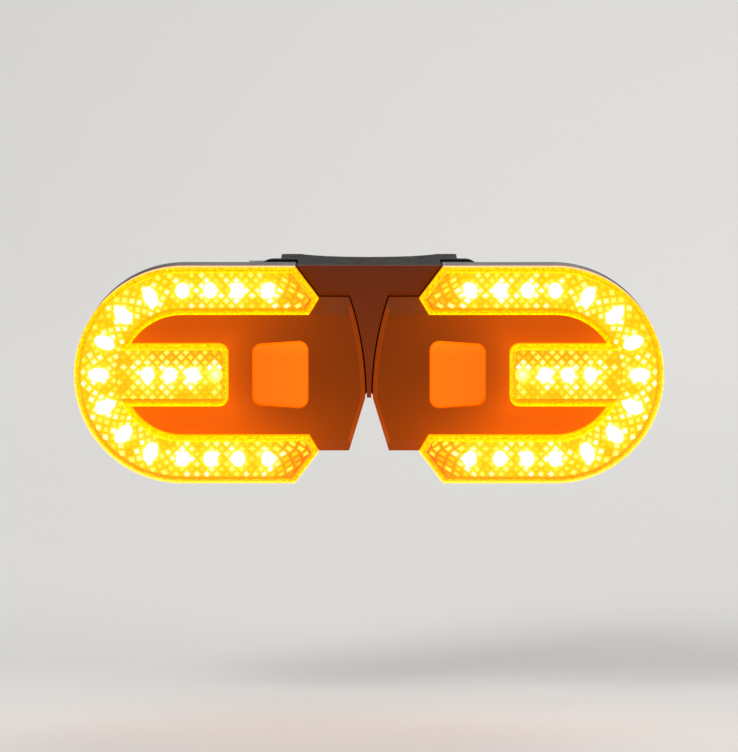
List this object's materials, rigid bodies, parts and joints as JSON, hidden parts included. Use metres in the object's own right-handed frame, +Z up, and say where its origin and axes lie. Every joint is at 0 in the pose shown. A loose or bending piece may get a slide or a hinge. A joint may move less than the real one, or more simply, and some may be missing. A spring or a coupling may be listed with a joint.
{
  "type": "bicycle turn signal light",
  "caption": "Twin rear turn signal lights with amber lenses, push buttons and charging covers, which slide off a bracket that is strapped to a seat post.",
  "frame": {"origin": "on the seat post's axis, at half the height of the bracket's saddle", "axes": "+Z up along the seat post, -Y the way the lights face, behind the bicycle, and +X towards the right-hand light as seen from behind the bicycle"},
  "size_m": [0.1088, 0.0599, 0.04],
  "materials": {
    "abs_black": "fine-grained moulded ABS",
    "abs_black_satin": "satin moulded ABS",
    "nylon_black": "moulded glass-filled nylon",
    "lens_amber": "clear amber polycarbonate over fine prisms",
    "board_white": "white solder mask",
    "led_package": "white package with an amber die",
    "board_green": "green solder mask",
    "chip_black": "moulded epoxy",
    "pin_brass": "plated pin",
    "battery_wrap": "foil pouch",
    "foam_grey": "adhesive foam",
    "tab_nickel": "nickel strip",
    "switch_black": "moulded",
    "plunger_nylon": "moulded",
    "socket_nickel": "nickel plated",
    "seal_silicone": "soft silicone",
    "screw_steel": "zinc plated",
    "pin_steel": "turned stainless steel",
    "button_silicone": "translucent silicone, lit from behind",
    "silicone_black": "matte silicone",
    "rubber_black": "moulded rubber"
  },
  "bodies": {
    "bracket": {"bracket_frame": "nylon_black", "saddle_pad": "rubber_black", "post_strap": "silicone_black", "strap_pin": "pin_steel"},
    "left_light": {"left_rear_shell": "abs_black", "left_front_shell": "abs_black_satin", "left_lens": "lens_amber", "left_led_board": "board_white", "left_led_chips": "led_package", "left_main_board": "board_green", "left_board_chips": "chip_black", "left_board_pins": "pin_brass", "left_battery": "battery_wrap", "left_battery_pad": "foam_grey", "left_battery_tabs": "tab_nickel", "left_switch_body": "switch_black", "left_usb_socket": "socket_nickel", "left_shell_seal": "seal_silicone", "left_shell_screws": "screw_steel", "left_board_screws": "screw_steel", "left_dock_shoe": "abs_black", "left_shoe_screws": "screw_steel"},
    "left_push_button": {"left_button": "button_silicone", "left_switch_plunger": "plunger_nylon"},
    "left_charging_cover": {"left_usb_cover": "silicone_black"},
    "right_light": {"right_rear_shell": "abs_black", "right_front_shell": "abs_black_satin", "right_lens": "lens_amber", "right_led_board": "board_white", "right_led_chips": "led_package", "right_main_board": "board_green", "right_board_chips": "chip_black", "right_board_pins": "pin_brass", "right_battery": "battery_wrap", "right_battery_pad": "foam_grey", "right_battery_tabs": "tab_nickel", "right_switch_body": "switch_black", "right_usb_socket": "socket_nickel", "right_shell_seal": "seal_silicone", "right_shell_screws": "screw_steel", "right_board_screws": "screw_steel", "right_dock_shoe": "abs_black", "right_shoe_screws": "screw_steel"},
    "right_push_button": {"right_button": "button_silicone", "right_switch_plunger": "plunger_nylon"},
    "right_charging_cover": {"right_usb_cover": "silicone_black"}
  },
  "joints": [
    {"name": "left_light_slide", "type": "slide", "parent": "bracket", "child": "left_light", "axis": [-1, 0, 0], "range_m": [0, 0.02]},
    {"name": "left_button_press", "type": "slide", "parent": "left_light", "child": "left_push_button", "axis": [0, 1, 0], "range_m": [0, 0.0005], "stiffness_N_per_m": 3000},
    {"name": "left_cover_hinge", "type": "hinge", "parent": "left_light", "child": "left_charging_cover", "pos_m": [-0.022, -0.03197, -0.0274], "axis": [0, -1, 0], "range_deg": [0, 95]},
    {"name": "right_light_slide", "type": "slide", "parent": "bracket", "child": "right_light", "axis": [1, 0, 0], "range_m": [0, 0.02]},
    {"name": "right_button_press", "type": "slide", "parent": "right_light", "child": "right_push_button", "axis": [0, 1, 0], "range_m": [0, 0.0005], "stiffness_N_per_m": 3000},
    {"name": "right_cover_hinge", "type": "hinge", "parent": "right_light", "child": "right_charging_cover", "pos_m": [0.022, -0.03197, -0.0274], "axis": [0, 1, 0], "range_deg": [0, 95]}
  ]
}
